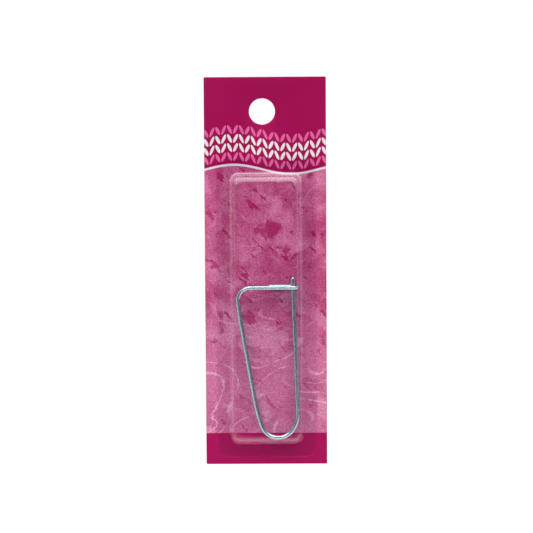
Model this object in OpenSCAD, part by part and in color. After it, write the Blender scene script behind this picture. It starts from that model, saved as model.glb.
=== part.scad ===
// A bent-wire stitch holder, loose in a clear thermoformed bubble that is sealed to a hang card.
// Millimetres. The origin is the centre of the hang hole, half-way through the card.
// X runs to the right and Z up, and the viewer looks along +Y at the printed face.

/* [Wire] */
// Diameter of the round wire
wire_d = 1.27; // [0.9:0.01:1.8]
// Height of the loop, from the cross bar's axis down to the lowest point of the foot's axis
loop_h = 43.45; // [34:0.05:60]
// How far the pin's rounded point stands above the cross bar's axis
pin_stub = 3; // [2:0.1:6]
// Angle by which the pin leans towards the standing leg
pin_lean = 1.9; // [0:0.1:4]
// Angle by which the standing leg spreads away from the pin
leg_lean = 9.65; // [5:0.05:14]

/* [Bends] */
// Radius of the easy bend between the pin and the foot
toe_r = 8.3; // [6:0.1:12]
// Angle of that bend
toe_turn = 37.5; // [20:0.5:50]
// Radius of the tight bend at the foot, which flexes
foot_r = 5.1; // [4:0.05:8]
// Radius of the slow bend between the foot and the standing leg
heel_r = 60; // [40:1:90]
// Angle of that slow bend
heel_turn = 8.3; // [4:0.1:12]
// Radius of the slow bend below the shoulder
brow_r = 67; // [40:1:100]
// Angle of that slow bend
brow_turn = 5.6; // [2:0.1:8]
// Radius of the shoulder, between the standing leg and the cross bar
shoulder_r = 3.5; // [2:0.1:6]

/* [Catch] */
// Gap between the pin and the hairpin catch, on each side
catch_gap = 0.1; // [0.05:0.01:0.3]
// Length of the straight return behind the pin
return_len = 7.1; // [4:0.1:9]
// Angle by which the return rises above the cross bar
catch_tilt = 4.5; // [0:0.5:15]
// Chamfer on the cut end of the return
cut_chamfer = 0.15; // [0.05:0.01:0.3]

/* [Card] */
// Thickness of the board
card_t = 0.5; // [0.3:0.05:1]
// Height of the card above the blister's flange
header_h = 23.3; // [18:0.1:40]
// Card left bare on each side of the flange
side_margin = 3.1; // [0.5:0.1:8]
// Card left bare below the flange
foot_margin = 2.1; // [0.5:0.1:12]
// Diameter of the hang hole
hole_d = 7.5; // [5:0.1:9]
// Distance of the hole's centre from the card's top edge
hole_drop = 9.9; // [7:0.1:14]
// Distance of the card's centre line to the right of the hole's centre
hole_shift = 0.83; // [0:0.01:3]

/* [Blister] */
// Thickness of the clear film
film_t = 0.3; // [0.15:0.05:0.5]
// Width of the flat flange round the bubble
flange_w = 4.05; // [2:0.05:8]
// Corner radius of the flange
flange_r = 3; // [1:0.1:5]
// Corner radius of the bubble's plan
bubble_r = 2.6; // [1.8:0.1:4]
// Radius of the bubble's front edges
edge_r = 1.1; // [0.6:0.05:1.5]
// Radius of the inside corner between the bubble and its flange
root_r = 0.4; // [0.1:0.05:0.8]
// Draft of the bubble's long sides
side_draft = 3.5; // [1:0.5:8]
// Draft of the bubble's two ends
end_draft = 15.5; // [5:0.5:20]
// Distance of the blister to the right of the card's centre line
blister_shift = 0.15; // [-1:0.05:1]

/* [Fit] */
// Room behind the catch, to the card
back_gap = 0.25; // [0.1:0.05:1]
// Room in front of the catch, to the film
front_gap = 0.75; // [0.2:0.05:3]
// Room beside the shoulder
left_gap = 1.24; // [0.2:0.02:4]
// Room beside the catch
right_gap = 0.26; // [0.2:0.02:4]
// Room below the foot, at rest
foot_gap = 0.25; // [0.15:0.05:1]
// Room above the pin's point, when the holder has slid all the way up
head_gap = 0.35; // [0.15:0.05:1]
// How far the holder can slide up inside the bubble
slide_travel = 28.8; // [5:0.1:40]

/* [Hidden] */
$fn = 64;
wire_r = wire_d / 2;

// The stretches of the wire, in order from the pin's point
PIN = 0;
TOE = 1;
FOOT = 2;
HEEL = 3;
LEG = 4;
BROW = 5;
SHOULDER = 6;
BAR = 7;
CATCH = 8;
RETURN = 9;

// The catch is a hairpin round the pin: its axis runs one wire and one gap away from the pin's axis
catch_r = wire_d + catch_gap;
bar_y = -catch_r * cos(catch_tilt);
bar_z = -catch_r * sin(catch_tilt);

// The foot takes the turn that is left between the two legs' leans, and so does the shoulder
foot_turn = 180 + pin_lean - toe_turn - heel_turn - leg_lean;
heel_lean = leg_lean + heel_turn;
shoulder_turn = 90 + leg_lean - brow_turn;

// The pin runs from the centre of its rounded point to the toe
point_z = bar_z + pin_stub - wire_r;
toe_low = toe_turn - pin_lean;
toe_drop = toe_r * (sin(pin_lean) + sin(toe_low));
foot_drop = foot_r * (1 - sin(toe_low));
pin_len = (point_z - bar_z + loop_h - toe_drop - foot_drop) / cos(pin_lean);

// The standing leg tips towards the viewer, which brings the cross bar in front of the pin
heel_rise = heel_r * (sin(heel_lean) - sin(leg_lean));
leg_rise = loop_h - foot_r * (1 - sin(heel_lean)) - heel_rise;
first_tip = -bar_y / (leg_rise + heel_rise / 2) * 180 / PI;
leg_tip = first_tip * bar_y / bar_y_at(first_tip);

// The two straight lengths that close the loop: one brings the bar to its height, one to the pin
leg_len = closing_leg(leg_tip);
bar_len = -at(wire_with(leg_tip, leg_len, 0), BAR)[0][3];
wire = wire_with(leg_tip, leg_len, bar_len);

// Each stretch is [roll before it, straight length, radius, turn]
function wire_with(tip, leg, bar) = [
    [0, pin_len, 0, 0],
    [0, 0, toe_r, toe_turn],
    [0, 0, foot_r, foot_turn],
    [heel_roll(tip), 0, heel_r, heel_bend(tip)],
    [leg_roll(tip), leg, 0, 0],
    [0, 0, brow_r, brow_turn],
    [0, 0, shoulder_r, shoulder_turn],
    [0, bar, 0, 0],
    [90 + catch_tilt - tip, 0, catch_r, 180],
    [0, return_len, 0, 0]
];

// The heel is bent askew, by this roll and this turn, so that the leg leaves it tipped forward
function heel_roll(tip) = -atan2(cos(leg_lean) * sin(tip),
    sin(heel_lean) * cos(leg_lean) * cos(tip) - cos(heel_lean) * sin(leg_lean));
function heel_bend(tip) =
    acos(sin(heel_lean) * sin(leg_lean) + cos(heel_lean) * cos(leg_lean) * cos(tip));
function leg_roll(tip) = atan2(cos(heel_lean) * sin(tip),
    sin(heel_lean) * cos(leg_lean) - cos(heel_lean) * sin(leg_lean) * cos(tip));

function closing_leg(tip) = let (open = wire_with(tip, 0, 0), low = at(open, BAR), leg = at(open, LEG))
    (bar_z - low[2][3]) / leg[2][2];
function bar_y_at(tip) = at(wire_with(tip, closing_leg(tip), 0), BAR)[1][3];

// A stretch's frame: Z along the wire, X towards the inside of the bend
function roll_m(a) = [[cos(a), -sin(a), 0, 0], [sin(a), cos(a), 0, 0], [0, 0, 1, 0], [0, 0, 0, 1]];
function turn_m(r, a) =
    [[cos(a), 0, sin(a), r * (1 - cos(a))], [0, 1, 0, 0], [-sin(a), 0, cos(a), r * sin(a)], [0, 0, 0, 1]];
function run_m(length) = [[1, 0, 0, 0], [0, 1, 0, 0], [0, 0, 1, length], [0, 0, 0, 1]];
function past(s) = s[2] == 0 ? run_m(s[1]) : turn_m(s[2], s[3]);
function point_frame() = let (a = 180 - pin_lean)
    [[cos(a), 0, sin(a), -point_z * tan(pin_lean)], [0, 1, 0, 0],
     [-sin(a), 0, cos(a), point_z], [0, 0, 0, 1]];
function at(w, i) = i == PIN ? point_frame() : at(w, i - 1) * past(w[i - 1]) * roll_m(w[i][0]);

// How far the holder reaches from the catch's centre. To the right that is the catch or the toe
toe_right = at(wire, TOE)[0][3] + toe_r * (1 - cos(pin_lean)) + wire_r;
holder_right = max(catch_r + wire_r, toe_right);
shoulder_m = at(wire, SHOULDER);
holder_left = -(shoulder_m[0][3] + shoulder_r * shoulder_m[0][0] - shoulder_r - wire_r);
holder_low = loop_h - bar_z + wire_r;
holder_high = bar_z + pin_stub;
holder_deep = wire_r - bar_y;

// The bubble's depths, from the card's face
pin_depth = back_gap + holder_deep;
wire_front = pin_depth + wire_r;
bubble_top = pin_depth + holder_deep + front_gap + film_t;

// The bubble is drawn round the holder's reach and its play
side_room = left_gap + right_gap + 2 * wall(pin_depth, side_draft);
bubble_w = holder_left + holder_right + side_room;
end_room = foot_gap + head_gap + slide_travel + 2 * wall(wire_front, end_draft);
bubble_h = holder_high + holder_low + end_room;

// The card is drawn round the flange
flange_size = [bubble_w + 2 * flange_w, bubble_h + 2 * flange_w];
card_size = [flange_size[0] + 2 * side_margin, flange_size[1] + header_h + foot_margin];
card_face = -card_t / 2;
bubble_x = hole_shift + blister_shift;
bubble_z = hole_drop - header_h - flange_size[1] / 2;
holder_x = bubble_x + bubble_w / 2 - wall(pin_depth, side_draft) - right_gap - holder_right;
holder_z = bubble_z - bubble_h / 2 + wall(wire_front, end_draft) + foot_gap + holder_low;

// The stretches are placed from the catch's centre. A straight one is a cylinder
module placed() { translate([holder_x, card_face - pin_depth, holder_z]) children(); }
module straight(i) { placed() multmatrix(at(wire, i)) cylinder(r = wire_r, h = wire[i][1]); }

// A run of bends is one tube: rings that follow the wire, square to it and not twisted by its rolls
WIRE_SIDES = 24;
TURN_STEP = 5;
function part_way(s, t) = s[2] == 0 ? run_m(s[1] * t) : turn_m(s[2], s[3] * t);
function wire_ring(m, r, twist) = [for (k = [0:WIRE_SIDES - 1]) let (a = 360 * k / WIRE_SIDES - twist,
    p = m * [r * cos(a), r * sin(a), 0, 1]) [p[0], p[1], p[2]]];
function rolled(first, i) = i <= first ? 0 : wire[i][0] + rolled(first, i - 1);
function steps(s) = s[2] == 0 ? 1 : ceil(s[3] / TURN_STEP);
function stretch_rings(first, i) = let (m = at(wire, i), n = steps(wire[i]))
    [for (k = [0:n - 1]) wire_ring(m * part_way(wire[i], k / n), wire_r, rolled(first, i))];

// The last ring is square, or a chamfered cut end
function end_rings(first, last, cut) = let (s = wire[last], m = at(wire, last), twist = rolled(first, last))
    cut == 0 ? [wire_ring(m * past(s), wire_r, twist)]
    : [wire_ring(m * run_m(s[1] - cut), wire_r, twist), wire_ring(m * run_m(s[1]), wire_r - cut, twist)];

module bends(first, last, cut = 0) {
    rings = concat([for (i = [first:last]) each stretch_rings(first, i)], end_rings(first, last, cut));
    placed() skinned(rings);
}

// A closed solid through a row of rings, which turn anticlockwise as seen from the row's far end
module skinned(rings) {
    n = len(rings[0]);
    top = (len(rings) - 1) * n;
    sides = [for (i = [0:len(rings) - 2], j = [0:n - 1])
        let (a = i * n + j, b = i * n + (j + 1) % n) each [[a, a + n, b], [b, a + n, b + n]]];
    first_cap = [for (j = [0:n - 1]) j];
    last_cap = [for (j = [n - 1:-1:0]) top + j];
    polyhedron([for (r = rings) each r], concat(sides, [first_cap, last_cap]), convexity = 6);
}

module wire_color() { color([0.62, 0.73, 0.76]) children(); }

module pin_leg() {
    wire_color() {
        straight(PIN);
        placed() multmatrix(at(wire, PIN)) rotate_extrude() intersection() {
            circle(r = wire_r);
            translate([0, -wire_r]) square(wire_r);
        }
    }
}

module spring_bend() { wire_color() bends(TOE, HEEL); }
module standing_leg() { wire_color() straight(LEG); }
module shoulder_bend() { wire_color() bends(BROW, SHOULDER); }
module cross_bar() { wire_color() straight(BAR); }
module catch_hook() { wire_color() bends(CATCH, RETURN, cut_chamfer); }

module backing_card() {
    color([0.78, 0.3, 0.5]) difference() {
        translate([hole_shift - card_size[0] / 2, card_face, hole_drop - card_size[1]])
            cube([card_size[0], card_t, card_size[1]]);
        rotate([90, 0, 0]) cylinder(d = hole_d, h = 2 * card_t, center = true);
    }
}

// The film's surfaces: skin 0 is the outer one and skin 1 the inner one, a film's thickness behind it
ROOT_STEPS = 4;
EDGE_STEPS = 5;
CORNER_STEPS = 7;
function wall(depth, draft) = tan(draft) * (depth - film_t) + film_t / cos(draft);
function root_c(draft) = root_r * (1 - sin(draft)) / cos(draft);
function edge_c(draft) = (edge_r + (bubble_top - edge_r - film_t) * sin(draft)) / cos(draft);

// How far a skin lies inside the bubble's base line at a depth: the root's arc, the wall or the edge's arc
function inset(depth, draft, skin) = let (
        behind = skin * film_t,
        root = root_r + behind,
        edge = edge_r - behind,
        below = film_t + root_r - depth,
        above = depth - bubble_top + edge_r)
    below >= root * sin(draft) ? sqrt(max(0, root * root - below * below)) - root_c(draft)
    : above >= edge * sin(draft) ? edge_c(draft) - sqrt(max(0, edge * edge - above * above))
    : tan(draft) * (depth - film_t) + behind / cos(draft);

function skin_depths(skin) = concat(
    [for (i = [0:ROOT_STEPS]) film_t + root_r - (root_r + skin * film_t) * cos(90 * i / ROOT_STEPS)],
    [for (i = [1:EDGE_STEPS]) bubble_top - edge_r + (edge_r - skin * film_t) * sin(90 * i / EDGE_STEPS)]);

function ring(half_w, half_h, r, depth) = [
    for (k = [0:3], j = [0:CORNER_STEPS]) let (a = 90 * (k + j / CORNER_STEPS))
        [bubble_x + (k == 0 || k == 3 ? 1 : -1) * (half_w - r) + r * cos(a),
         card_face - depth,
         bubble_z + (k < 2 ? 1 : -1) * (half_h - r) + r * sin(a)]];

function skin_ring(depth, skin) = let (in_x = inset(depth, side_draft, skin))
    ring(bubble_w / 2 - in_x, bubble_h / 2 - inset(depth, end_draft, skin),
         max(wire_r, bubble_r - in_x), depth);

function flange_ring(depth) = ring(flange_size[0] / 2, flange_size[1] / 2, flange_r, depth);

function reversed(list) = [for (i = [len(list) - 1:-1:0]) list[i]];

module blister() {
    rings = concat(
        [for (d = reversed(skin_depths(1))) skin_ring(d, 1)],
        [flange_ring(0), flange_ring(film_t)],
        [for (d = skin_depths(0)) skin_ring(d, 0)]);
    color([0.85, 0.95, 1, 0.35]) skinned(rings);
}

backing_card();
blister();
pin_leg();
spring_bend();
standing_leg();
shoulder_bend();
cross_bar();
catch_hook();
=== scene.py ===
from functools import partialmethod
from math import acos, atan2, ceil, cos, pi, radians, sin, sqrt, tan, tau

import bmesh
import bpy
from bpy.props import FloatProperty, FloatVectorProperty, IntProperty, PointerProperty
from mathutils import Matrix, Vector


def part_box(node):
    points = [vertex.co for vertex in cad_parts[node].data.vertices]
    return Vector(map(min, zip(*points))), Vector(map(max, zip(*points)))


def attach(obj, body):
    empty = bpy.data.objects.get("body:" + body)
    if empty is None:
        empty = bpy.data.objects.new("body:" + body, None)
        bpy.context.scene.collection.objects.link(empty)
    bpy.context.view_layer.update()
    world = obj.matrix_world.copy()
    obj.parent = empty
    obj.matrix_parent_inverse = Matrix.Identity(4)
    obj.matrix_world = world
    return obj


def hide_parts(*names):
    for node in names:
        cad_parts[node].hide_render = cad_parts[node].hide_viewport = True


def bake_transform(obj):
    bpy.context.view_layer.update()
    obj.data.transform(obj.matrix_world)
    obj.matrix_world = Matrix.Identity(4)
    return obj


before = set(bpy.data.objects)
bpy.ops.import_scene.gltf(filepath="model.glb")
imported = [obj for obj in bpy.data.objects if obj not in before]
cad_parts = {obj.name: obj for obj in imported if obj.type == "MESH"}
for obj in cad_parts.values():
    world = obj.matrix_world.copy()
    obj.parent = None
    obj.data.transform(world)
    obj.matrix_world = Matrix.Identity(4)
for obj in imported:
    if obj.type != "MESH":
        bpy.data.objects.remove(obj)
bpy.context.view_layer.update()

bl_info = {
    "name": "Stitch holder pack",
    "version": (1, 0, 0),
    "blender": (4, 5, 0),
    "location": "View3D > Sidebar > Stitch Holder",
    "description": "Builds a stitch holder in its clear bubble on a hang card",
    "category": "Object",
}

MM = 0.001

# Places that the frame gives
CARD_LOW, CARD_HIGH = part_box("backing_card")
FILM_LOW, FILM_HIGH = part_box("blister")
PIN_LOW, PIN_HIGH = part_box("pin_leg")
CARD_FACE = CARD_LOW.y


def number(name, text, value, **kind):
    """A plain number setting, or one of a given kind."""
    return FloatProperty(name=name, description=text, default=value, min=0.0, **kind)


def length(name, text, millimetres):
    """A size setting in metres, with its default in millimetres."""
    return number(name, text, millimetres * MM, precision=5, unit="LENGTH", subtype="DISTANCE")


def share(name, text, value):
    """A setting from 0 to 1."""
    return number(name, text, value, max=1.0, subtype="FACTOR")


def angle(name, text, degrees):
    """An angle setting, with its default in degrees."""
    return FloatProperty(name=name, description=text, default=radians(degrees), subtype="ANGLE")


def colour(name, text, red, green, blue):
    """A colour setting, given as it looks on a screen, from 0 to 255."""
    return FloatVectorProperty(name=name, description="Colour of " + text, size=3, min=0.0, max=1.0,
                               subtype="COLOR", default=[on_screen(x) for x in (red, green, blue)])


def on_screen(value):
    """The linear light of a screen value from 0 to 255."""
    c = value / 255
    return c / 12.92 if c <= 0.04045 else ((c + 0.055) / 1.055) ** 2.4


class WireSettings(bpy.types.PropertyGroup):
    """Sizes and colours of the bent wire."""

    wire_d: length("Wire diameter", "Diameter of the wire", 1.27)
    loop_h: length("Loop height", "From the bar's axis to the foot's", 43.45)
    pin_stub: length("Pin stub", "Pin's height above the bar's axis", 3)
    pin_lean: angle("Pin lean", "Pin's lean towards the standing leg", 1.9)
    leg_lean: angle("Leg lean", "Leg's lean away from the pin", 9.65)
    toe_r: length("Toe radius", "Radius of the bend below the pin", 8.3)
    toe_turn: angle("Toe turn", "Angle of that bend", 37.5)
    foot_r: length("Foot radius", "Radius of the tight bend, which flexes", 5.1)
    heel_r: length("Heel radius", "Radius of the bend above the foot", 60)
    heel_turn: angle("Heel turn", "Angle of that bend", 8.3)
    brow_r: length("Brow radius", "Radius of the bend below the shoulder", 67)
    brow_turn: angle("Brow turn", "Angle of that bend", 5.6)
    shoulder_r: length("Shoulder radius", "Radius of the bend between leg and bar", 3.5)
    catch_gap: length("Catch gap", "Gap on each side of the pin", 0.1)
    return_len: length("Return length", "Length of the return behind the pin", 7.1)
    catch_tilt: angle("Catch tilt", "The return's lean above the bar", 4.5)
    cut_chamfer: length("Cut chamfer", "Chamfer on the return's cut end", 0.15)
    sides: IntProperty(name="Sides", description="Sides of the wire's round section", default=32, min=8)
    step: length("Step", "Distance between rings along the wire", 0.25)
    metal: colour("Metal", "the anodised aluminium", 173, 192, 196)
    dull: colour("Dull metal", "the wire where its anodising is thin", 141, 159, 164)
    roughness: share("Roughness", "How dull the wire is", 0.26)


class CardSettings(bpy.types.PropertyGroup):
    """Sizes and colours of the printed hang card."""

    hole_d: length("Hole", "Diameter of the hang hole", 7.5)
    corner_r: length("Corner radius", "Radius of the card's die-cut corners", 0.35)
    edge_r: length("Edge radius", "Radius of the board's die-cut edges", 0.035)
    band_foot: length("Header band", "Mean place of the header's edge, below the hole", 16.6)
    wave_rise: length("Wave rise", "Height of the wave from its mean", 1.35)
    wave_run: length("Wave length", "Distance between two crests", 33)
    wave_line: length("Wave line", "Thickness of the line along the wave", 0.62)
    foot_band: length("Foot band", "Height of the band at the card's foot", 9.1)
    stitch_w: length("Printed stitch width", "Width of one printed stitch", 3.4)
    stitch_h: length("Printed stitch height", "Height of one printed stitch", 2.6)
    header: colour("Header ink", "the header", 152, 8, 76)
    band: colour("Band ink", "the foot band", 170, 8, 88)
    pale: colour("Pale ink", "the outer rows of printed stitches", 214, 96, 152)
    line: colour("Line ink", "the wavy line and the middle rows of stitches", 224, 215, 220)
    field_light: colour("Field light", "the field's light tone", 204, 114, 152)
    field_deep: colour("Field deep", "the field's deep tone", 174, 66, 114)
    vein: colour("Vein", "the pale veins", 232, 172, 204)
    fleck: colour("Fleck", "the dark brush flecks", 156, 18, 84)
    board: colour("Board", "the board's core and back", 216, 212, 204)


class FilmSettings(bpy.types.PropertyGroup):
    """Sizes and colours of the clear bubble."""

    film_t: length("Film", "Thickness of the film", 0.3)
    flange_w: length("Flange", "Width of the flange", 4.05)
    flange_r: length("Flange corner", "Corner radius of the flange", 3)
    bubble_r: length("Bubble corner", "Corner radius of the bubble's plan", 2.6)
    edge_r: length("Edge radius", "Radius of the bubble's front edges", 1.1)
    root_r: length("Root radius", "Radius of the inside corner at the flange", 0.4)
    side_draft: angle("Side draft", "Draft of the bubble's long sides", 3.5)
    end_draft: angle("End draft", "Draft of the bubble's two ends", 15.5)
    seal_gap: length("Seal gap", "Air between the flange and the card", 0.02)
    tint: colour("Tint", "what the film lets through", 252, 253, 255)
    roughness: share("Roughness", "How dull the film is", 0.05)
    index: FloatProperty(name="Index", description="Refractive index", default=1.39, min=1.01)
    head_haze: share("Head haze", "Haze of the film at the bubble's top end", 0.24)
    foot_haze: share("Foot haze", "Haze of the film at its bottom end", 0.08)
    bend_haze: share("Bend haze", "Haze along the bends of the walls", 0.085)
    haze: colour("Haze", "the haze, with some of the print in it", 248, 222, 236)
    foot_tone: colour("Foot haze tone", "the haze over the dark band at the foot", 255, 190, 224)


class StageSettings(bpy.types.PropertyGroup):
    """Camera and light of the studio."""

    distance: length("Camera distance", "From the camera to the card", 450)
    elevation: angle("Elevation", "Camera's height above what it looks at", 3.08)
    azimuth: angle("Azimuth", "Camera's turn to the right of the card's front", 0.68)
    roll: angle("Roll", "Camera's lean, which turns the picture anticlockwise", 0.337)
    lens: number("Lens", "Focal length", 105.18, unit="CAMERA")
    aim_x: length("Aim across", "Point looked at, to the right of the hole", 1.06)
    aim_drop: length("Aim down", "Point looked at, below the hole", 44.64)
    hang: length("Hanging height", "Height of the card's foot above the floor", 320)
    ambient: number("Ambient", "Strength of the white studio", 0.5)
    key: number("Key", "Power of the main soft lamp", 5.9, unit="POWER")
    fill: number("Fill", "Power of the second soft lamp", 4.15, unit="POWER")
    top: number("Top", "Power of the lamp overhead", 5.0, unit="POWER")
    floor_r: length("Floor radius", "Radius of the pale floor", 4000)
    floor_glow: number("Floor glow", "Light of the floor itself", 0.62)
    dark_core: length("Screen core", "Radius of the screen's black middle", 170)
    dark_r: length("Screen radius", "How far the screen stands off", 1400)
    dark_h: length("Screen height", "Height of the dark screen", 1300)
    dark_from: angle("Screen left end", "Left end of the screen, from straight ahead", -58)
    dark_to: angle("Screen right end", "Right end of the screen, from straight ahead", 95)
    dark_glow: number("Screen glow", "Light of the screen round its middle", 0.22)


class Value:
    """A number or vector in a node tree, with its nodes written as arithmetic."""

    def __init__(self, tree, socket):
        self.tree = tree
        self.socket = socket

    def math(self, operation, *others):
        inputs = dict(enumerate((self, *others)))
        return Nodes(self.tree).get("Math", 0, inputs, operation=operation)

    __add__ = partialmethod(math, "ADD")
    __sub__ = partialmethod(math, "SUBTRACT")
    __mul__ = partialmethod(math, "MULTIPLY")
    __truediv__ = partialmethod(math, "DIVIDE")

    def __rsub__(self, other):
        return self * -1.0 + other

    def between(self, first, second):
        """The first number where this is 0, and the second where it is 1."""
        return self * (second - first) + first

    def ramp(self, low, high, smooth=True):
        """0 below low and 1 above high, or the other way round where low is the larger."""
        falls = low > high
        inputs = {"Value": self, "From Min": min(low, high), "From Max": max(low, high),
                  "To Min": float(falls), "To Max": float(not falls)}
        way = "SMOOTHSTEP" if smooth else "LINEAR"
        return Nodes(self.tree).get("MapRange", "Result", inputs, interpolation_type=way)

    def stripe(self, start, full, fade, end):
        """1 from full to fade, and 0 before the start and past the end."""
        return self.ramp(start, full) * self.ramp(end, fade)

    def layer(self, levels, strength):
        """A layer's strength, where this noise rises from one level to the other."""
        return self.ramp(*levels) * strength


class Nodes:
    """The nodes of one tree, whose kinds are given without the start that most of them share."""

    def __init__(self, tree, start="ShaderNode"):
        self.tree = tree
        self.start = start

    def add(self, kind, inputs=None, **settings):
        node = self.tree.nodes.new(self.start + kind)
        for name, value in settings.items():
            setattr(node, name, value)
        return self.feed(node, inputs or {})

    def feed(self, node, inputs):
        """Links each input to its Value, or sets it to a plain number or colour."""
        for name, value in inputs.items():
            socket = node.inputs[name]
            if isinstance(value, Value):
                self.tree.links.new(value.socket, socket)
            elif socket.type == "RGBA":
                socket.default_value = (*value[:3], 1.0)
            else:
                socket.default_value = value
        return node

    def get(self, kind, output, inputs=None, **settings):
        """One output of a new node."""
        return Value(self.tree, self.add(kind, inputs, **settings).outputs[output])


class Paint(Nodes):
    """The nodes of one material."""

    def __init__(self, name):
        self.material = bpy.data.materials.new(name)
        self.material.use_nodes = True
        super().__init__(self.material.node_tree)
        self.shader = self.tree.nodes["Principled BSDF"]
        self.output = self.tree.nodes["Material Output"]

    def vector(self, operation, inputs):
        return self.get("VectorMath", "Vector", inputs, operation=operation)

    def millimetres(self):
        """The place on the piece, in millimetres."""
        return self.vector("SCALE", {0: self.get("TexCoord", "Object"), "Scale": 1 / MM})

    def split(self, vector):
        node = self.add("SeparateXYZ", {"Vector": vector})
        return [Value(self.tree, part) for part in node.outputs]

    def join(self, x, y, z):
        return self.get("CombineXYZ", "Vector", {"X": x, "Y": y, "Z": z})

    def drawn_out(self, vector, size, turn=0.0):
        """A vector in features of this size, turned anticlockwise by an angle in degrees."""
        inputs = {"Vector": vector, "Scale": size, "Rotation": (0, 0, radians(turn))}
        return self.get("Mapping", "Vector", inputs, vector_type="TEXTURE")

    def noise(self, vector, scale, detail=2.0, roughness=0.5, distortion=0.0, output="Fac"):
        """Noise whose scale is the number of its features in one unit of the vector."""
        inputs = {"Vector": vector, "Scale": scale, "Detail": detail, "Roughness": roughness,
                  "Distortion": distortion}
        return self.get("TexNoise", output, inputs)

    def cells(self, vector, scale, output="Distance"):
        return self.get("TexVoronoi", output, {"Vector": vector, "Scale": scale})

    def shifted(self, vector, by, amount):
        """A vector moved by a noise colour, to bend what is drawn on it."""
        centred = self.vector("SUBTRACT", {0: by, 1: (0.5, 0.5, 0.5)})
        return self.vector("MULTIPLY_ADD", {0: centred, 1: (amount, amount, amount), 2: vector})

    def mix(self, factor, first, second, blend="MIX"):
        """A colour mix of Values or plain colours."""
        inputs = {0: factor, 6: first, 7: second}
        return self.get("Mix", 2, inputs, data_type="RGBA", blend_type=blend)

    def layered(self, factor, first, second):
        """Two shaders mixed: the first at 0, and the second at 1."""
        return self.get("MixShader", "Shader", {0: factor, 1: first, 2: second})

    def bump(self, height, distance, strength, **under):
        """The normal of a shallow relief, over another one where its Normal is given."""
        inputs = {"Height": height, "Distance": distance, "Strength": strength, **under}
        return self.get("Bump", "Normal", inputs)

    def finish(self, **inputs):
        """Sets or links the shader's inputs by name, with spaces as underscores."""
        self.feed(self.shader, {name.replace("_", " "): value for name, value in inputs.items()})
        return self.material


def shaded(ink, factor):
    """A colour made lighter or darker."""
    return [c * factor for c in ink]


# A leaf of a printed knit stitch, in shares of the stitch: its place, lean, half width and half height
LEAF_ASIDE, LEAF_LEAN, LEAF_W, LEAF_H = 0.25, 0.36, 0.125, 0.52
LEAF_EDGE = (1.15, 0.85)


def knit_print(x, row, card):
    """Where rows of printed knit stitches take ink. Each stitch is two leaves that lean together."""
    width, height = card.stitch_w / MM, card.stitch_h / MM
    aside = (((x / width).math("FRACT") - 0.5).math("ABSOLUTE") - LEAF_ASIDE) * width
    rise = (row.math("FRACT") - 0.5) * height
    lean = atan2(LEAF_LEAN * width, height)
    across = aside * cos(lean) - rise * sin(lean)
    along = aside * sin(lean) + rise * cos(lean)
    leaf = (across / (width * LEAF_W)).math("POWER", 2.0) + (along / (height * LEAF_H)).math("POWER", 2.0)
    return leaf.ramp(*LEAF_EDGE)


# Heights where the field's upper pattern turns into its lower one, in millimetres
FIELD_TURN = (-46.0, -80.0)
# The noise levels between which each layer comes in, and its strength above and below
CLOUD_LEVELS = (0.34, 0.72)
LIGHT_PETALS = (0.6, 0.9), (0.05, 0.27)
DEEP_PETALS = (0.35, 0.1), (0.4, 0.2)
BROAD_STROKES = (0.6, 0.66), (0.75, 0.3)
VEINS = (1.0, 0.4), (0.12, 0.72)
FLECKS = (0.63, 0.67), (0.85, 0.45)
# Veins follow so many contours of a noise. They swell and break off
VEIN_CONTOURS, VEIN_WIDTHS = 9.0, (0.04, 0.14)
VEIN_SWELL, VEIN_BREAKS = (0.35, 0.7), (0.42, 0.55)


def mottled_field(paint, flat, card):
    """The field's cloudy pink, with petals, thin pale veins and dark brush flecks."""
    low = paint.split(flat)[1].ramp(*FIELD_TURN)

    def printed(noise, levels, strengths):
        return noise.layer(levels, low.between(*strengths))

    drift = paint.noise(flat, 0.1, output="Color")
    frayed = paint.noise(flat, 1.1, output="Color")
    bent_place = paint.shifted(flat, drift, 11.0)
    ragged = paint.shifted(bent_place, frayed, 0.9)
    cloud = paint.noise(bent_place, 0.14, detail=4.0, roughness=0.62) + low * 0.25
    field = paint.mix(cloud.ramp(*CLOUD_LEVELS), card.field_deep, card.field_light)
    petal = paint.split(paint.cells(ragged, 0.1, output="Color"))[0]
    field = paint.mix(printed(petal, *LIGHT_PETALS), field, card.vein)
    field = paint.mix(printed(petal, *DEEP_PETALS), field, card.field_deep)
    broad = paint.drawn_out(ragged, size=(0.8, 1.5, 1.0), turn=35)
    broad = paint.noise(broad, 0.13, detail=3.0, roughness=0.6)
    field = paint.mix(printed(broad, *BROAD_STROKES), field, card.fleck)

    soft = paint.shifted(flat, frayed, 0.7)
    swell = paint.noise(flat, 0.3).ramp(*VEIN_SWELL)
    swirl = paint.drawn_out(soft, size=(1.3, 0.8, 1.0), turn=25)
    swirl = paint.noise(swirl, 0.055, detail=0.0, distortion=0.5)
    contour = ((swirl * VEIN_CONTOURS).math("FRACT") - 0.5).math("ABSOLUTE")
    vein = printed(contour / swell.between(*VEIN_WIDTHS), *VEINS)
    unbroken = paint.noise(flat, 0.11, detail=1.0).ramp(*VEIN_BREAKS)
    field = paint.mix(vein * unbroken, field, card.vein)

    dabs = paint.drawn_out(soft, size=(1.9, 6.0, 1.0), turn=48)
    dabs = paint.noise(dabs, 1.0, roughness=0.55)
    return paint.mix(printed(dabs, *FLECKS), field, card.fleck)


# The print's coarse grain
GRAIN_LEVELS, GRAIN_STRENGTH = (0.28, 0.72), 0.55
GRAIN_TONES = (0.12, 0.95)
# The header's lighter clouds: noise levels, strength and how much lighter they are
HEADER_CLOUD, HEADER_LIGHTER = ((0.3, 0.7), 0.3), 1.2
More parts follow.
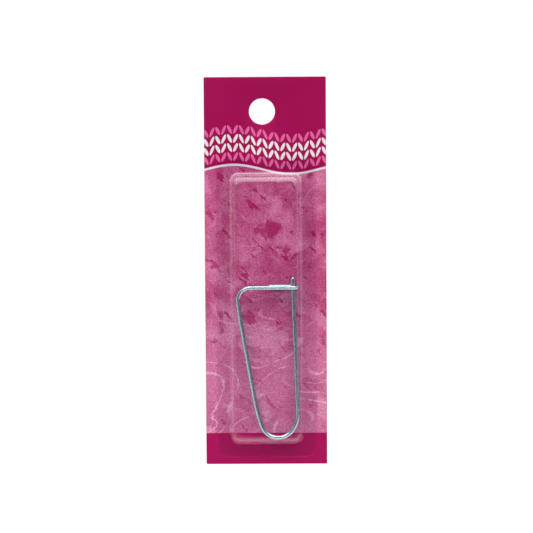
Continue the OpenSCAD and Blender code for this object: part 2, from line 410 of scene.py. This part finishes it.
# The rows of stitches start this far above the wave, in millimetres
STITCHES_ABOVE = 1.1
ALL_ROWS = (0.0, 0.04, 3.96, 4.0)
WHITE_ROWS = (0.98, 1.0, 3.0, 3.02)
# Half the width of an ink's edge, in millimetres
INK_EDGE, LINE_EDGE = 0.05, 0.06


def card_print(card):
    """The printed face: bands, a pale wave, knit stitches above it and a mottled field below."""
    paint = Paint("printed_face")
    x, _, z = paint.split(paint.millimetres())
    flat = paint.join(x, z, 0.0)
    grain = paint.noise(flat, 1.9, roughness=0.75).ramp(*GRAIN_LEVELS, smooth=False)
    field = mottled_field(paint, flat, card)
    field = paint.mix(GRAIN_STRENGTH, field, grain.between(*GRAIN_TONES), "OVERLAY")

    turns = x * (-2 * pi * MM / card.wave_run)
    above = z - (turns.math("SINE") * (card.wave_rise / MM) - card.band_foot / MM)
    uneven = paint.noise(flat, 0.05).layer(*HEADER_CLOUD)
    band = paint.mix(uneven, card.header, shaded(card.header, HEADER_LIGHTER))
    row = (above - STITCHES_ABOVE) / (card.stitch_h / MM)
    yarn = paint.mix(row.stripe(*WHITE_ROWS), card.pale, card.line)
    band = paint.mix(knit_print(x, row, card) * row.stripe(*ALL_ROWS), band, yarn)

    inked = paint.mix(above.ramp(-INK_EDGE, INK_EDGE), field, band)
    foot = (CARD_LOW.z + card.foot_band) / MM
    inked = paint.mix(z.ramp(foot + INK_EDGE, foot - INK_EDGE), inked, card.band)
    half_line = card.wave_line / MM / 2
    line = above.math("ABSOLUTE").ramp(half_line + LINE_EDGE, half_line - LINE_EDGE)
    inked = paint.mix(line, inked, card.line)

    fibre = paint.noise(flat, 1.4, detail=3.0, roughness=0.6)
    return paint.finish(Base_Color=inked, Roughness=fibre.between(0.3, 0.44), Specular_IOR_Level=0.15,
                        Normal=paint.bump(fibre, distance=0.02 * MM, strength=0.5))


# Noise levels and strength of the board's fibres, cloudy formation and specks
FIBRES = (0.3, 0.7), 0.6
FORMATION = (0.35, 0.65), 0.4
SPECKS = (0.12, 0.07), 0.4
PULP_DARKER, SPECK_DARKER = 0.88, 0.45


def board_stock(card):
    """The unprinted board of the card's edges and back."""
    paint = Paint("board_stock")
    place = paint.millimetres()
    fibre = paint.noise(paint.drawn_out(place, size=(1.0, 1.0, 0.8)), scale=2.2, detail=4.0, roughness=0.7)
    formation = paint.noise(place, 0.35, detail=3.0, roughness=0.55)
    speck = paint.cells(place, 0.45)
    pulp = paint.mix(fibre.layer(*FIBRES) + formation.layer(*FORMATION),
                     shaded(card.board, PULP_DARKER), card.board)
    tone = paint.mix(speck.layer(*SPECKS), pulp, shaded(card.board, SPECK_DARKER))
    return paint.finish(Base_Color=tone, Roughness=0.85,
                        Normal=paint.bump(fibre, distance=0.04 * MM, strength=0.6))


WIRE_UV = "wire_uv"
# Noise levels and strength of the marks in the anodising
DRAWING_LINES = (0.35, 0.65), 0.15
THIN_PATCHES = (0.4, 0.7), 0.2


def anodised_wire(wire):
    """Anodised aluminium with fine lines along the wire."""
    paint = Paint("anodised_wire")
    along, around, _ = paint.split(paint.get("UVMap", "UV", uv_map=WIRE_UV))

    def marks(per_millimetre, per_turn, start, **kind):
        place = paint.join(along * (per_millimetre / MM), around * per_turn, start)
        return paint.noise(place, 1.0, **kind)

    lines = marks(per_millimetre=0.12, per_turn=30.0, start=0.0, detail=3.0, roughness=0.6)
    patches = marks(per_millimetre=0.35, per_turn=4.0, start=3.0)
    tone = paint.mix(lines.layer(*DRAWING_LINES), wire.metal, wire.dull)
    tone = paint.mix(patches.layer(*THIN_PATCHES), tone, wire.dull)
    rough = patches.between(-0.05, 0.05) + lines.between(-0.03, 0.03) + wire.roughness
    return paint.finish(Base_Color=tone, Metallic=1.0, Roughness=rough,
                        Normal=paint.bump(lines, distance=0.001 * MM, strength=0.15))


# Lines that forming leaves, in millimetres inside the base line: start, full, fade and end
ROOT_BEND = (0.05, 0.2, 0.3, 0.5)
FRONT_BEND = (1.2, 1.4, 1.5, 1.7)
END_LIP = (0.0, 0.15, 0.35, 0.55)
END_CREASE = (1.05, 1.2, 1.45, 1.6)
FRONT_BEND_SHARE, CREASE_SHARE = 0.7, 0.7
# How much further in they lie at the foot than at the head
FOOT_LIP, FOOT_CREASE = 0.5, 0.95
# Where the head's wall turns satin, and where an end's wall has run out
SATIN_START, WALL_END = (-0.5, -0.3), (3.0, 2.4)
# The lower half of an end's wall, and its share of the haze at the head and at the foot
LOW_WALL, LOW_WALL_HAZE = (1.6, 1.2), (0.4, 1.5)
# An end begins this far past the sides' straight part and above the flange
END_ZONE, END_RISE = (-1.5, 0.5), (0.05, 0.15)
HEAD_TO_FOOT = (1.0, -1.0)
# The film's relief comes in over these distances on the front and on the flange
FRONT_RELIEF, FLANGE_RELIEF = (1.5, 4.0), (0.0, -1.0)
# The flange's cut edge: its depths below the film's front, and how little it faces the viewer
CUT_DEPTH, CUT_FACING = (-0.005, -0.02), (0.95, 0.8)
# What the satin wall and the cut edge gain in roughness and lose in shine
SATIN_ROUGH, SATIN_DULL = 0.3, 0.75
CUT_ROUGH, CUT_DULL = 0.6, 0.6


def inside_base(form, x, z):
    """How far a place lies inside the bubble's base line, and how far past its straight parts."""
    corner = form.film.bubble_r / MM
    beyond = [(v - centre / MM).math("ABSOLUTE") - (half / MM - corner)
              for v, centre, half in zip((x, z), form.centre, form.bubble)]
    outside = [b.math("MAXIMUM", 0.0) for b in beyond]
    span = (outside[0] * outside[0] + outside[1] * outside[1]).math("SQRT")
    return corner - span - beyond[0].math("MAXIMUM", beyond[1]).math("MINIMUM", 0.0), beyond


def clear_film(film, form):
    """Clear film that bends nothing seen through it, hazy where forming has drawn its ends out."""
    paint = Paint("clear_film")
    place = paint.millimetres()
    x, y, z = paint.split(place)
    proud = (CARD_FACE - film.film_t) / MM - y
    within, beyond = inside_base(form, x, z)

    foot = (z - form.centre[1] / MM).ramp(*HEAD_TO_FOOT)
    at_end = beyond[1].ramp(*END_ZONE)
    on_wall = within.ramp(*WALL_END)
    satin = (1.0 - foot) * at_end * within.ramp(*SATIN_START) * on_wall
    crease = (within - foot * FOOT_CREASE).stripe(*END_CREASE) * CREASE_SHARE
    wall = within - foot * FOOT_LIP
    drawn = wall.ramp(*END_LIP[2:]) * on_wall * (1.0 - crease)
    slope = within.ramp(*LOW_WALL) * (foot.between(*LOW_WALL_HAZE) - 1.0) + 1.0
    bends = within.stripe(*ROOT_BEND) + within.stripe(*FRONT_BEND) * FRONT_BEND_SHARE
    raised_end = at_end * proud.ramp(*END_RISE)
    cloud = paint.noise(place, 0.4).between(0.75, 1.25)
    ends = foot.between(film.head_haze, film.foot_haze)
    amount = (drawn * slope * cloud + wall.stripe(*END_LIP)) * raised_end * ends
    amount = amount + bends * (1.0 - raised_end) * film.bend_haze

    calm = within.ramp(*FRONT_RELIEF) + within.ramp(*FLANGE_RELIEF)
    sag = paint.bump(paint.noise(place, 0.22) * calm, distance=0.06 * MM, strength=0.5)
    normal = paint.bump(paint.noise(place, 1.1) * calm, distance=0.004 * MM, strength=0.5, Normal=sag)
    facing = paint.split(paint.get("TexCoord", "Normal"))[1].math("ABSOLUTE")
    cut = proud.ramp(*CUT_DEPTH) * facing.ramp(*CUT_FACING)
    rough = cut * CUT_ROUGH + satin * SATIN_ROUGH + film.roughness
    paint.finish(Base_Color=WHITE, Metallic=1.0, Normal=normal, Roughness=rough.math("MINIMUM", 1.0))
    index = paint.get("NewGeometry", "Backfacing").between(film.index, 1 / film.index)
    mirror = paint.get("Fresnel", "Fac", {"IOR": index, "Normal": normal})
    mirror = mirror * (1.0 - cut * CUT_DULL - satin * SATIN_DULL)
    tint = [sqrt(c) for c in film.tint]
    clear = paint.get("BsdfTransparent", "BSDF", {"Color": tint})
    glassy = paint.layered(mirror, clear, Value(paint.tree, paint.shader.outputs["BSDF"]))
    tone = paint.mix(foot, film.haze, film.foot_tone)
    haze = paint.get("BsdfDiffuse", "BSDF", {"Color": tone, "Roughness": 0.4})
    paint.feed(paint.output, {"Surface": paint.layered(amount, glassy, haze)})
    return paint.material


def linked(name, data, *materials):
    """A new object in the scene, with its data and materials."""
    piece = bpy.data.objects.new(name, data)
    bpy.context.scene.collection.objects.link(piece)
    for material in materials:
        data.materials.append(material)
    return piece


def as_mesh(name, shape):
    """A bmesh as a plain mesh. The bmesh is freed."""
    mesh = bpy.data.meshes.new(name)
    shape.to_mesh(mesh)
    shape.free()
    return mesh


def plain_mesh(piece, name, *materials):
    """The piece as a plain mesh, with a new name and materials. The old piece is removed."""
    depsgraph = bpy.context.evaluated_depsgraph_get()
    mesh = bpy.data.meshes.new_from_object(piece.evaluated_get(depsgraph))
    mesh.name = name
    mesh.materials.clear()
    bpy.data.objects.remove(piece)
    return linked(name, mesh, *materials)


def rolled(turn):
    """Turns a frame round the wire."""
    return Matrix.Rotation(turn, 4, "Z")


def fed(feed, radius, turn, part=1.0):
    """Moves a frame along part of a stretch: straight, or round a bend whose inside lies towards its X."""
    if not radius:
        return Matrix.Translation((0, 0, feed * part))
    out, back = (Matrix.Translation((side * radius, 0, 0)) for side in (1, -1))
    return out @ Matrix.Rotation(turn * part, 4, "Y") @ back


class WireRun:
    """The wire's stretches as a bender makes them: roll, straight length, radius and turn.

    X and Y of each frame are square to the wire, and Z runs along it.
    """

    def __init__(self, wire):
        self.wire = wire
        self.catch_r = wire.wire_d + wire.catch_gap
        self.bar_y = -self.catch_r * cos(wire.catch_tilt)
        self.bar_z = -self.catch_r * sin(wire.catch_tilt)
        self.heel_lean = wire.leg_lean + wire.heel_turn
        self.foot_turn = pi + wire.pin_lean - wire.toe_turn - self.heel_lean
        self.shoulder_turn = pi / 2 + wire.leg_lean - wire.brow_turn
        point_z = self.bar_z + wire.pin_stub - wire.wire_d / 2
        self.point = Vector((-point_z * tan(wire.pin_lean), 0, point_z))
        toe_low = wire.toe_turn - wire.pin_lean
        toe_drop = wire.toe_r * (sin(wire.pin_lean) + sin(toe_low))
        foot_drop = wire.foot_r * (1 - sin(toe_low))
        drop = point_z - self.bar_z + wire.loop_h - toe_drop - foot_drop
        self.pin_len = drop / cos(wire.pin_lean)
        self.close()

    def close(self):
        """Finds the leg's tip and the two straight lengths that close the loop."""
        wire = self.wire
        heel_rise = wire.heel_r * (sin(self.heel_lean) - sin(wire.leg_lean))
        leg_rise = wire.loop_h - wire.foot_r * (1 - sin(self.heel_lean)) - heel_rise
        tip = -self.bar_y / (leg_rise + heel_rise / 2)
        reach = self.frames(self.stretches(tip, self.leg_for(tip), 0))["bar"].translation.y
        tip *= self.bar_y / reach
        leg = self.leg_for(tip)
        bar = -self.frames(self.stretches(tip, leg, 0))["bar"].translation.x
        self.final = self.stretches(tip, leg, bar)

    def leg_for(self, tip):
        at = self.frames(self.stretches(tip, 0, 0))
        return (self.bar_z - at["bar"].translation.z) / at["leg"].col[2].z

    def stretches(self, tip, leg, bar):
        wire = self.wire
        low, high = self.heel_lean, wire.leg_lean
        heel_roll = -atan2(cos(high) * sin(tip), sin(low) * cos(high) * cos(tip) - cos(low) * sin(high))
        heel_bend = acos(sin(low) * sin(high) + cos(low) * cos(high) * cos(tip))
        leg_roll = atan2(cos(low) * sin(tip), sin(low) * cos(high) - cos(low) * sin(high) * cos(tip))
        return {
            "pin": (0, self.pin_len, 0, 0),
            "toe": (0, 0, wire.toe_r, wire.toe_turn),
            "foot": (0, 0, wire.foot_r, self.foot_turn),
            "heel": (heel_roll, 0, wire.heel_r, heel_bend),
            "leg": (leg_roll, leg, 0, 0),
            "brow": (0, 0, wire.brow_r, wire.brow_turn),
            "shoulder": (0, 0, wire.shoulder_r, self.shoulder_turn),
            "bar": (0, bar, 0, 0),
            "catch": (pi / 2 + wire.catch_tilt - tip, 0, self.catch_r, pi),
            "return": (0, wire.return_len, 0, 0),
        }

    def frames(self, stretches):
        """The frame at the start of each stretch, from the catch's centre."""
        at = Matrix.Translation(self.point) @ Matrix.Rotation(pi - self.wire.pin_lean, 4, "Y")
        starts = {}
        for name, (roll, *stretch) in stretches.items():
            at = at @ rolled(roll)
            starts[name] = at.copy()
            at = at @ fed(*stretch)
        return starts

    def catch_centre(self):
        """The catch's centre in the frame, from the pin's rounded point."""
        r = self.wire.wire_d / 2
        return Vector((PIN_LOW.x + r, (PIN_LOW.y + PIN_HIGH.y) / 2, PIN_HIGH.z - r)) - self.point

    def points(self, names, origin):
        """[(place, distance along)] at even steps along the named stretches."""
        starts = self.frames(self.final)
        made, gone = [], 0.0
        for name in names:
            _, feed, radius, turn = self.final[name]
            distance = feed + radius * turn
            count = max(2, ceil(distance / self.wire.step))
            for part in (k / count for k in range(count)):
                at = starts[name] @ fed(feed, radius, turn, part)
                made.append((origin + at.translation, gone + distance * part))
            gone += distance
        end = starts[names[-1]] @ fed(feed, radius, turn)
        return made + [(origin + end.translation, gone)]


# The pin's point is a little blunter than a ball, and ends in a small flat
BLUNTNESS, TIP_SHARE, DOME_STEPS = 2.6, 0.02, 8


def dome(points, r):
    """Adds a rounded point before a wire's first ring: (place, distance, radius) for each ring."""
    ahead = (points[0][0] - points[1][0]).normalized()
    rings = []
    for k in range(DOME_STEPS):
        a = pi / 2 * (1 - k / DOME_STEPS)
        out, wide = (r * abs(c) ** (2 / BLUNTNESS) for c in (sin(a), cos(a)))
        rings.append((points[0][0] + ahead * out, -out, max(wide, r * TIP_SHARE)))
    return rings + [(p, d, r) for p, d in points]


def chamfered(points, r, cut):
    """Ends a wire with a cut end whose rim is broken."""
    back = (points[-2][0] - points[-1][0]).normalized()
    end, gone = points[-1]
    whole = [(p, d, r) for p, d in points if d < gone - cut]
    return whole + [(end + back * cut, gone - cut, r), (end, gone, r - cut)]


def captured(nodes, name, curve, measure):
    """A curve that keeps a measure of its points, and that measure."""
    node = nodes.add("GeometryNodeCaptureAttribute")
    node.capture_items.new("FLOAT", name)
    nodes.feed(node, {"Geometry": curve, name: nodes.get("GeometryNodeSplineParameter", measure)})
    return [Value(nodes.tree, node.outputs[output]) for output in ("Geometry", name)]


def wire_sweep(sides):
    """Geometry Nodes that sweep a round section along a path with a radius at each point."""
    tree = bpy.data.node_groups.new("wire_sweep", "GeometryNodeTree")
    for way in ("INPUT", "OUTPUT"):
        tree.interface.new_socket("Geometry", in_out=way, socket_type="NodeSocketGeometry")
    nodes = Nodes(tree, start="")
    path, along = captured(nodes, "Along", nodes.get("NodeGroupInput", "Geometry"), "Length")
    circle = nodes.get("GeometryNodeCurvePrimitiveCircle", "Curve", {"Resolution": sides, "Radius": 1.0})
    section, around = captured(nodes, "Around", circle, "Factor")
    radius = nodes.get("GeometryNodeInputRadius", "Radius")
    sweep = nodes.get("GeometryNodeCurveToMesh", "Mesh", {
        "Curve": path, "Profile Curve": section, "Scale": radius, "Fill Caps": True})
    place = nodes.get("ShaderNodeCombineXYZ", "Vector", {"X": along, "Y": around})
    mapped = nodes.get("GeometryNodeStoreNamedAttribute", "Geometry", {
        "Geometry": sweep, "Name": WIRE_UV, "Value": place}, data_type="FLOAT2", domain="CORNER")
    nodes.add("NodeGroupOutput", {"Geometry": mapped})
    return tree


# Edges that turn more than this stay sharp, in degrees
WIRE_SHARP, FILM_SHARP, CARD_SHARP = 30, 30, 50
# Points closer than this are one, in millimetres
SAME_PLACE = 0.0005


def add_spline(curve, places):
    """A spline of straight runs through places."""
    spline = curve.splines.new("POLY")
    spline.points.add(len(places) - 1)
    for point, place in zip(spline.points, places):
        point.co = (*place, 1.0)
    return spline


def swept(name, rings, sweep, material):
    """A wire through rings of (place, distance, radius), as a plain mesh."""
    curve = bpy.data.curves.new(name + "_path", "CURVE")
    curve.dimensions = "3D"
    spline = add_spline(curve, [place for place, _, _ in rings])
    spline.points.foreach_set("radius", [radius for _, _, radius in rings])
    path = linked(name + "_path", curve)
    path.modifiers.new("Sweep", "NODES").node_group = sweep
    piece = plain_mesh(path, name, material)
    finish_shell(piece.data, WIRE_SHARP)
    return piece


def finish_shell(mesh, sharp):
    """Merges a closed shell's doubles, turns its faces outward and shades it smooth up to sharp edges."""
    shape = bmesh.new()
    shape.from_mesh(mesh)
    bmesh.ops.remove_doubles(shape, verts=shape.verts, dist=SAME_PLACE * MM)
    bmesh.ops.recalc_face_normals(shape, faces=shape.faces)
    for face in shape.faces:
        face.smooth = True
    for edge in shape.edges:
        edge.smooth = len(edge.link_faces) == 2 and edge.calc_face_angle(0) < radians(sharp)
    shape.to_mesh(mesh)
    shape.free()


class STITCH_OT_wire(bpy.types.Operator):
    """Bend the stitch holder's wire, from the pin's point to the catch's cut end"""

    bl_idname = "stitch.wire"
    bl_label = "Bent wire"

    def execute(self, context):
        wire = context.scene.stitch_wire
        bends = WireRun(wire)
        centre = bends.catch_centre()
        looks = wire_sweep(wire.sides), anodised_wire(wire)
        r = wire.wire_d / 2
        spring = dome(bends.points(["pin", "toe", "foot", "heel"], centre), r)
        standing = chamfered(bends.points(["leg", "brow", "shoulder", "bar", "catch", "return"], centre),
                             r, wire.cut_chamfer)
        pin = swept("pin_and_spring_bend", spring, *looks)
        hook = swept("standing_leg_and_catch", standing, *looks)
        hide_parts("pin_leg", "spring_bend")
        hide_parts("standing_leg", "shoulder_bend", "cross_bar", "catch_hook")
        heel = centre + bends.frames(bends.final)["heel"].translation
        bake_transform(pin)
        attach(hook, "holder")
        return {"FINISHED"}


def rounded_outline(centre, half, r, steps):
    """Points round a rectangle with rounded corners, anticlockwise, as (x, z)."""
    points = []
    for k, (side_x, side_z) in enumerate(((1, 1), (-1, 1), (-1, -1), (1, -1))):
        x = centre[0] + side_x * (half[0] - r)
        z = centre[1] + side_z * (half[1] - r)
        for j in range(steps + 1):
            a = pi / 2 * (k + j / steps)
            points.append((x + r * cos(a), z + r * sin(a)))
    return points


def middle_and_half(low, high):
    """The middle of a box and half its size, both as (x, z)."""
    return ((low.x + high.x) / 2, (low.z + high.z) / 2), ((high.x - low.x) / 2, (high.z - low.z) / 2)


# Steps round the card's hole and corners and over its edge
HOLE_STEPS, CARD_CORNER_STEPS, CARD_EDGE_STEPS = 96, 6, 2
# Faces that face the front this squarely take the print
PRINTED_FACING = 0.6


class STITCH_OT_card(bpy.types.Operator):
    """Cut the hang card, with its hole, rounded die-cut edges and print"""

    bl_idname = "stitch.card"
    bl_label = "Hang card"

    def execute(self, context):
        card = context.scene.stitch_card
        flat = linked("card_outline", self.outline(card))
        piece = plain_mesh(flat, "printed_card", card_print(card), board_stock(card))
        middle = (CARD_LOW.y + CARD_HIGH.y) / 2
        piece.data.transform(Matrix.Translation((0, middle, 0)) @ Matrix.Rotation(pi / 2, 4, "X"))
        finish_shell(piece.data, CARD_SHARP)
        for face in piece.data.polygons:
            face.material_index = 0 if face.normal.y < -PRINTED_FACING else 1
        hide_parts("backing_card")
        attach(piece, "pack")
        return {"FINISHED"}

    def outline(self, card):
        """The card's outline and hole as a curve with the board's thickness and edges."""
        curve = bpy.data.curves.new("card_outline", "CURVE")
        curve.dimensions = "2D"
        curve.fill_mode = "BOTH"
        curve.extrude = (CARD_HIGH.y - CARD_LOW.y) / 2 - card.edge_r
        curve.bevel_depth = card.edge_r
        curve.bevel_resolution = CARD_EDGE_STEPS
        curve.offset = -card.edge_r
        turns = [-tau * k / HOLE_STEPS for k in range(1, HOLE_STEPS + 1)]
        hole = [(card.hole_d / 2 * cos(a), card.hole_d / 2 * sin(a)) for a in turns]
        edge = rounded_outline(*middle_and_half(CARD_LOW, CARD_HIGH), card.corner_r, CARD_CORNER_STEPS)
        for outline in (edge, hole):
            add_spline(curve, [(x, z, 0) for x, z in outline]).use_cyclic_u = True
        return curve


class BubbleForm:
    """The section and plan of the thermoformed film. Depths are counted from the card's face."""

    ROOT_STEPS, EDGE_STEPS, CORNER_STEPS = 6, 12, 14
    # Rings that keep the flats flat, in shares of the flange and of the edge's radius
    FLANGE_RING, FRONT_RING, FRONT_CORNER = 0.9, 0.25, 0.8

    def __init__(self, film):
        self.film = film
        self.centre, self.flange = middle_and_half(FILM_LOW, FILM_HIGH)
        self.bubble = tuple(half - film.flange_w for half in self.flange)
        self.low, self.high = film.film_t + film.root_r, CARD_FACE - FILM_LOW.y - film.edge_r

    def inset(self, depth, draft, behind):
        """How far a surface of the film lies inside the bubble's base line, at a depth."""
        film = self.film
        root, edge = film.root_r + behind, film.edge_r - behind
        below, above = self.low - depth, depth - self.high
        lean, upright = sin(draft), cos(draft)
        if below >= root * lean:
            return sqrt(max(0, root * root - below * below)) - film.root_r * (1 - lean) / upright
        if above >= edge * lean:
            reach = (film.edge_r + (self.high - film.film_t) * lean) / upright
            return reach - sqrt(max(0, edge * edge - above * above))
        return tan(draft) * (depth - film.film_t) + behind / upright

    def depths(self, behind):
        """The depths of the rings up one surface, through its root and over its edge."""
        film = self.film
        root, edge = film.root_r + behind, film.edge_r - behind
        turns = [pi / 2 * k / self.ROOT_STEPS for k in range(self.ROOT_STEPS + 1)]
        over = [pi / 2 * k / self.EDGE_STEPS for k in range(1, self.EDGE_STEPS + 1)]
        return [self.low - root * cos(a) for a in turns] + [self.high + edge * sin(a) for a in over]

    def ring(self, half, insets, r, depth):
        """A ring at a depth, drawn in from half a size by an inset across and one along."""
        sizes = [size - inset for size, inset in zip(half, insets)]
        outline = rounded_outline(self.centre, sizes, r, self.CORNER_STEPS)
        return [(x, CARD_FACE - depth, z) for x, z in outline]

    def wall_ring(self, depth, behind, support=0.0, corner=1.0):
        """A ring round the bubble's wall, moved in by a support distance."""
        film = self.film
        insets = [self.inset(depth, draft, behind) for draft in (film.side_draft, film.end_draft)]
        r = max(film.edge_r / 2, film.bubble_r - insets[0]) * corner
        return self.ring(self.bubble, [inset + support for inset in insets], r, depth)

    def skin(self, behind):
        """Rings up one surface of the film."""
        film = self.film
        depths = self.depths(behind)
        flats = [self.ring(self.bubble, (-out, -out), film.bubble_r + out, depths[0])
                 for out in (film.flange_w * self.FLANGE_RING, film.root_r)]
        walls = [self.wall_ring(depth, behind) for depth in depths]
        front = self.wall_ring(depths[-1], behind, film.edge_r * self.FRONT_RING, self.FRONT_CORNER)
        return flats + walls + [front]

    def rim(self):
        """Rings round the flange's cut edge, from its back to its front."""
        film = self.film
        back, front, soft = film.seal_gap, film.film_t, film.film_t / 4
        sizes = ((back, soft), (back + soft, 0), (front - soft, 0), (front, soft))
        return [self.ring(self.flange, (cut, cut), film.flange_r - cut, depth) for depth, cut in sizes]


class STITCH_OT_bubble(bpy.types.Operator):
    """Form the clear bubble and its flange as one film with a thickness"""

    bl_idname = "stitch.bubble"
    bl_label = "Clear bubble"

    def execute(self, context):
        film = context.scene.stitch_film
        form = BubbleForm(film)
        inner = form.skin(film.film_t)[::-1]
        inner = [[(x, min(y, CARD_FACE - film.seal_gap), z) for x, y, z in ring] for ring in inner]
        rings = inner + form.rim() + form.skin(0)
        shape = bmesh.new()
        verts = [[shape.verts.new(p) for p in ring] for ring in rings]
        for low, high in zip(verts, verts[1:]):
            for j in range(len(low)):
                shape.faces.new((low[j - 1], low[j], high[j], high[j - 1]))
        shape.faces.new(verts[0][::-1])
        shape.faces.new(verts[-1])
        mesh = as_mesh("clear_bubble", shape)
        finish_shell(mesh, FILM_SHARP)
        piece = linked("clear_bubble", mesh, clear_film(film, form))
        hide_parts("blister")
        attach(piece, "pack")
        return {"FINISHED"}


WHITE = (1.0, 1.0, 1.0)
BLACK = (0.0, 0.0, 0.0)
FLOOR_GREY = (0.86, 0.86, 0.86)
# Middle of the pack, which lamps and screen face, in metres
LIT_PLACE = (0.0, 0.0, -0.045)
# Each soft lamp: its place and the length of its sides, in metres
LAMPS = {
    "key": ((-0.4, -0.7, 0.8), 0.5),
    "fill": ((0.45, -0.7, 0.75), 0.5),
    "top": ((0.0, -0.15, 0.8), 0.7),
}
FLOOR_SIDES, SCREEN_STEPS = 64, 48
# Where the screen's black has turned into its glow, in times its radius
SCREEN_FADE = 3


def seen_directly(nodes):
    """1 for the camera and what shiny and clear surfaces show, 0 for the light on matt ones."""
    camera, glossy, through = (nodes.get("LightPath", f"Is {kind} Ray")
                               for kind in ("Camera", "Glossy", "Transmission"))
    return camera.math("MAXIMUM", glossy).math("MAXIMUM", through)


class STITCH_OT_stage(bpy.types.Operator):
    """Set up the studio: camera, lamps, surroundings, floor and a dark screen"""

    bl_idname = "stitch.stage"
    bl_label = "Studio"

    def execute(self, context):
        scene = context.scene
        stage = scene.stitch_stage
        scene.view_settings.view_transform = "Standard"
        self.camera(scene, stage)
        self.lamps(stage)
        self.surroundings(scene, stage)
        self.floor(stage)
        self.screen(stage)
        return {"FINISHED"}

    def face(self, piece, back, roll=0.0):
        """Turns a lamp or camera away from a direction, and leans it."""
        turned = back.to_track_quat("Z", "Y").to_matrix().to_4x4() @ rolled(-roll)
        piece.rotation_mode = "QUATERNION"
        piece.rotation_quaternion = turned.to_quaternion()

    def camera(self, scene, stage):
        """The camera, from its distance, height, turn and lean."""
        data = bpy.data.cameras.new("camera")
        data.lens = stage.lens
        data.clip_start = 0.01
        camera = linked("camera", data)
        e, a = stage.elevation, stage.azimuth
        back = Vector((sin(a) * cos(e), -cos(a) * cos(e), sin(e)))
        aim = Vector((stage.aim_x, CARD_FACE, -stage.aim_drop))
        camera.location = aim + back * stage.distance
        self.face(camera, back, stage.roll)
        scene.camera = camera

    def lamps(self, stage):
        """Square soft lamps that face the pack."""
        for name, (place, size) in LAMPS.items():
            lamp = bpy.data.lights.new(name + "_lamp", "AREA")
            lamp.size = size
            lamp.energy = getattr(stage, name)
            holder = linked(lamp.name, lamp)
            holder.location = place
            self.face(holder, Vector(place) - Vector(LIT_PLACE))

    def surroundings(self, scene, stage):
        """A white studio, which lights matt surfaces less than it shows."""
        world = bpy.data.worlds.new("white_studio")
        world.use_nodes = True
        nodes = Nodes(world.node_tree)
        strength = seen_directly(nodes).between(stage.ambient, 1.0)
        nodes.feed(nodes.tree.nodes["Background"], {"Color": WHITE, "Strength": strength})
        scene.world = world

    def floor(self, stage):
        """A pale round floor far below the card."""
        paint = Paint("pale_floor")
        paint.finish(Base_Color=FLOOR_GREY, Roughness=0.9, Specular_IOR_Level=0.1,
                     Emission_Color=WHITE, Emission_Strength=seen_directly(paint) * stage.floor_glow)
        shape = bmesh.new()
        bmesh.ops.create_circle(shape, cap_ends=True, segments=FLOOR_SIDES, radius=stage.floor_r)
        mesh = as_mesh("floor", shape)
        mesh.transform(Matrix.Translation((0, 0, CARD_LOW.z - stage.hang)))
        linked("floor", mesh, paint.material)

    def screen(self, stage):
        """A dark screen round the front and right, which the wire and film show as their dark core."""
        paint = Paint("dark_screen")
        x, _, z = paint.split(paint.get("TexCoord", "Object"))
        off = x.math("POWER", 2.0) + (z - LIT_PLACE[2]).math("POWER", 2.0)
        core = stage.dark_core
        glow = off.math("SQRT").ramp(core, core * SCREEN_FADE) * stage.dark_glow
        paint.finish(Base_Color=BLACK, Roughness=1.0, Specular_IOR_Level=0.0,
                     Emission_Color=WHITE, Emission_Strength=glow)
        shape = bmesh.new()
        posts = []
        for k in range(SCREEN_STEPS + 1):
            a = stage.dark_from + (stage.dark_to - stage.dark_from) * k / SCREEN_STEPS
            place = (stage.dark_r * sin(a), -stage.dark_r * cos(a))
            heights = [LIT_PLACE[2] + side * stage.dark_h / 2 for side in (-1, 1)]
            posts.append([shape.verts.new((*place, height)) for height in heights])
        for (low, high), (next_low, next_high) in zip(posts, posts[1:]):
            shape.faces.new((low, high, next_high, next_low))
        screen = linked("dark_screen", as_mesh("dark_screen", shape), paint.material)
        screen.visible_camera = False


# Each step of the build, with its settings and their name in the scene
STEPS = (
    (STITCH_OT_card, CardSettings, "stitch_card"),
    (STITCH_OT_bubble, FilmSettings, "stitch_film"),
    (STITCH_OT_wire, WireSettings, "stitch_wire"),
    (STITCH_OT_stage, StageSettings, "stitch_stage"),
)


class STITCH_PT_panel(bpy.types.Panel):
    """Lists the pack's pieces and their sizes"""

    bl_idname = "STITCH_PT_panel"
    bl_label = "Stitch holder pack"
    bl_space_type = "VIEW_3D"
    bl_region_type = "UI"
    bl_category = "Stitch Holder"

    def draw(self, context):
        for step, group, name in STEPS:
            box = self.layout.box()
            box.operator(step.bl_idname)
            for setting in group.__annotations__:
                box.prop(getattr(context.scene, name), setting)


CLASSES = [made for step, group, _ in STEPS for made in (group, step)] + [STITCH_PT_panel]


def register():
    for made in CLASSES:
        bpy.utils.register_class(made)
    for _, group, name in STEPS:
        setattr(bpy.types.Scene, name, PointerProperty(type=group))


def unregister():
    for _, _, name in STEPS:
        delattr(bpy.types.Scene, name)
    for made in reversed(CLASSES):
        bpy.utils.unregister_class(made)


def main():
    register()
    bpy.ops.stitch.stage()
    bpy.ops.stitch.card()
    bpy.ops.stitch.bubble()
    bpy.ops.stitch.wire()


if __name__ == "__main__":
    main()
